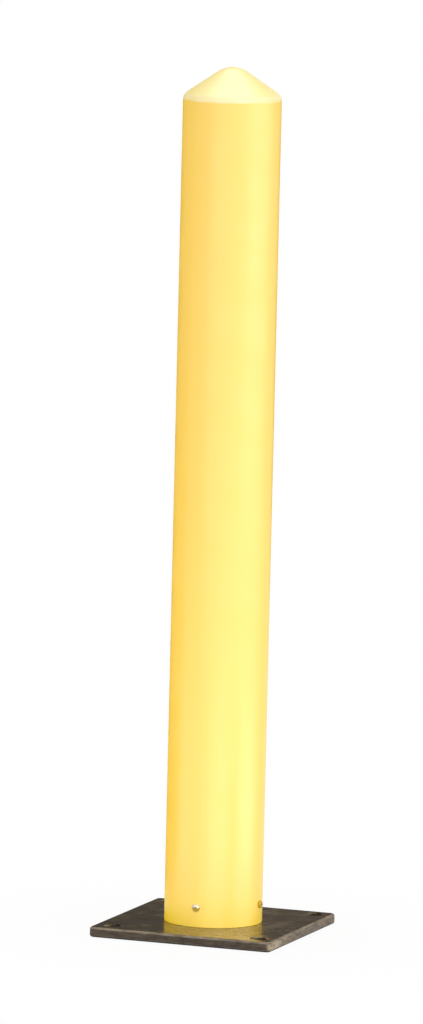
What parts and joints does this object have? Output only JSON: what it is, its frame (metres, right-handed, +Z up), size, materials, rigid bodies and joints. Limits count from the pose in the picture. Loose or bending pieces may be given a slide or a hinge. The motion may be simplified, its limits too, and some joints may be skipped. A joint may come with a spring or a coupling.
{
  "type": "plastic bollard post",
  "caption": "Round plastic bollard post with a blunt cone crown, screwed over a stub pipe on a square steel base plate with corner anchor holes.",
  "frame": {"origin": "centre of the base plate's underside, on the floor", "axes": "+Z up along the post, X and Y along the plate's sides"},
  "size_m": [0.2032, 0.2032, 0.9144],
  "materials": {
    "yellow_plastic": "satin",
    "plate_coating": "satin",
    "pipe_coating": "satin",
    "weld_metal": "matte",
    "screw_zinc": "satin"
  },
  "bodies": {
    "root": {"post_shell": "yellow_plastic", "base_plate": "plate_coating", "stub_pipe": "pipe_coating", "stub_weld": "weld_metal", "shell_screws": "screw_zinc"}
  },
  "joints": []
}
